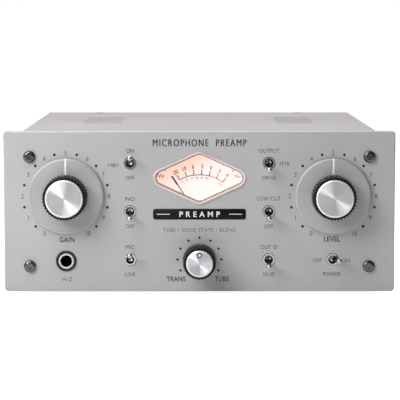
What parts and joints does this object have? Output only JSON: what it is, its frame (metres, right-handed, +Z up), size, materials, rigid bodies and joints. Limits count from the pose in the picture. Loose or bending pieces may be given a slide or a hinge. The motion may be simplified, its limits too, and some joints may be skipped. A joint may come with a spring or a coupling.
{
  "type": "microphone preamp",
  "caption": "Half-rack microphone preamp with a lozenge meter, skirted gain and level knobs, a blend knob, toggle switches and an instrument jack.",
  "frame": {"origin": "on the table under the middle of the whole object, knobs and rear connectors included", "axes": "+X to the right seen from the front, +Y from the front panel to the back, +Z up"},
  "size_m": [0.216, 0.264, 0.0919],
  "materials": {
    "panel_paint": "satin silver-grey paint on aluminium",
    "case_paint": "fine-textured light grey powder coat on steel",
    "plated_steel": "zinc-plated sheet steel",
    "black_steel": "black-oxide steel",
    "rubber": "black moulded rubber",
    "knob_black": "black satin phenolic",
    "spun_aluminium": "turned, with a circular brushed grain",
    "shaft_steel": "turned steel",
    "nickel": "bright nickel plate",
    "lens_clear": "clear moulded acrylic, polished",
    "meter_plastic": "white moulded plastic",
    "dial_ivory": "backlit ivory dial with printed scale",
    "needle_black": "black painted aluminium",
    "magnet_steel": "sintered magnet block",
    "lamp_glass": "warm lamp glass",
    "board_green": "green solder mask on glass-fibre board",
    "ceramic": "white glazed ceramic",
    "tube_glass": "clear blown glass",
    "capacitor_sleeve": "dark shrink sleeve",
    "sink_black": "black anodised aluminium",
    "winding": "yellow polyester tape over the winding",
    "connector_metal": "satin nickel over die-cast zinc",
    "connector_black": "black glass-filled nylon",
    "contact_silver": "silver-plated contacts"
  },
  "bodies": {
    "case": {"front_panel": "panel_paint", "panel_screws": "black_steel", "chassis_tray": "plated_steel", "top_cover": "case_paint", "rear_panel": "case_paint", "case_screws": "black_steel", "flush_screws": "black_steel", "rubber_feet": "rubber", "foot_screws": "plated_steel", "potentiometers": "plated_steel", "control_nuts": "nickel", "switch_bushings": "nickel", "switch_bodies": "connector_black", "jack_bushing": "nickel", "jack_body": "connector_black", "meter_housing": "meter_plastic", "meter_lens": "lens_clear", "meter_dial": "dial_ivory", "meter_movement": "magnet_steel", "meter_lamps": "lamp_glass", "main_board": "board_green", "board_screws": "plated_steel", "control_board": "board_green", "tube_socket": "ceramic", "vacuum_tube": "tube_glass", "filter_capacitors": "capacitor_sleeve", "heat_sink": "sink_black", "power_transformer": "winding", "transformer_clamp": "plated_steel", "xlr_shells": "connector_metal", "xlr_inserts": "connector_black", "xlr_contacts": "contact_silver", "connector_screws": "black_steel", "power_inlet": "connector_black", "inlet_blades": "contact_silver"},
    "gain_control": {"gain_knob_grip": "knob_black", "gain_knob_cap": "spun_aluminium", "gain_knob_skirt": "spun_aluminium", "gain_shaft": "shaft_steel", "gain_set_screw": "black_steel"},
    "level_control": {"level_knob_grip": "knob_black", "level_knob_cap": "spun_aluminium", "level_knob_skirt": "spun_aluminium", "level_shaft": "shaft_steel", "level_set_screw": "black_steel"},
    "blend_control": {"blend_knob_grip": "knob_black", "blend_knob_cap": "spun_aluminium", "blend_shaft": "shaft_steel", "blend_set_screw": "black_steel"},
    "phantom_toggle": {"phantom_lever": "nickel"},
    "pad_toggle": {"pad_lever": "nickel"},
    "input_toggle": {"input_lever": "nickel"},
    "meter_toggle": {"meter_lever": "nickel"},
    "low_cut_toggle": {"low_cut_lever": "nickel"},
    "polarity_toggle": {"polarity_lever": "nickel"},
    "power_toggle": {"power_lever": "nickel"},
    "needle": {"meter_needle": "needle_black"},
    "mic_in_tab": {"mic_in_latch": "connector_metal"},
    "line_in_tab": {"line_in_latch": "connector_metal"},
    "fuse_tray": {"fuse_drawer": "connector_black"}
  },
  "joints": [
    {"name": "gain_turn", "type": "hinge", "parent": "case", "child": "gain_control", "pos_m": [-0.0737, -0.1117, 0.056], "axis": [0, 1, 0], "range_deg": [-150, 150]},
    {"name": "level_turn", "type": "hinge", "parent": "case", "child": "level_control", "pos_m": [0.0737, -0.1117, 0.056], "axis": [0, 1, 0], "range_deg": [-150, 150]},
    {"name": "blend_turn", "type": "hinge", "parent": "case", "child": "blend_control", "pos_m": [0, -0.1117, 0.0208], "axis": [0, 1, 0], "range_deg": [-150, 150]},
    {"name": "phantom_flip", "type": "hinge", "parent": "case", "child": "phantom_toggle", "pos_m": [-0.0383, -0.108, 0.0743], "axis": [1, 0, 0], "range_deg": [0, 29]},
    {"name": "pad_flip", "type": "hinge", "parent": "case", "child": "pad_toggle", "pos_m": [-0.0383, -0.108, 0.04755], "axis": [-1, 0, 0], "range_deg": [0, 29]},
    {"name": "input_flip", "type": "hinge", "parent": "case", "child": "input_toggle", "pos_m": [-0.0383, -0.108, 0.0208], "axis": [1, 0, 0], "range_deg": [0, 29]},
    {"name": "meter_flip", "type": "hinge", "parent": "case", "child": "meter_toggle", "pos_m": [0.0383, -0.108, 0.0743], "axis": [-1, 0, 0], "range_deg": [0, 29]},
    {"name": "low_cut_flip", "type": "hinge", "parent": "case", "child": "low_cut_toggle", "pos_m": [0.0383, -0.108, 0.04755], "axis": [-1, 0, 0], "range_deg": [0, 29]},
    {"name": "polarity_flip", "type": "hinge", "parent": "case", "child": "polarity_toggle", "pos_m": [0.0383, -0.108, 0.0208], "axis": [-1, 0, 0], "range_deg": [0, 29]},
    {"name": "power_flip", "type": "hinge", "parent": "case", "child": "power_toggle", "pos_m": [0.0737, -0.108, 0.0208], "axis": [0, 0, -1], "range_deg": [0, 29]},
    {"name": "needle_swing", "type": "hinge", "parent": "case", "child": "needle", "pos_m": [0, -0.1025, 0.0437], "axis": [0, 1, 0], "range_deg": [0, 68], "stiffness_Nm_per_rad": 0.00001, "springref_deg": -17.19},
    {"name": "mic_in_press", "type": "slide", "parent": "case", "child": "mic_in_tab", "axis": [0, -1, 0], "range_m": [0, 0.0014], "stiffness_N_per_m": 600, "springref_m": -0.0015},
    {"name": "line_in_press", "type": "slide", "parent": "case", "child": "line_in_tab", "axis": [0, -1, 0], "range_m": [0, 0.0014], "stiffness_N_per_m": 600, "springref_m": -0.0015},
    {"name": "fuse_pull", "type": "slide", "parent": "case", "child": "fuse_tray", "axis": [0, 1, 0], "range_m": [0, 0.018]}
  ]
}
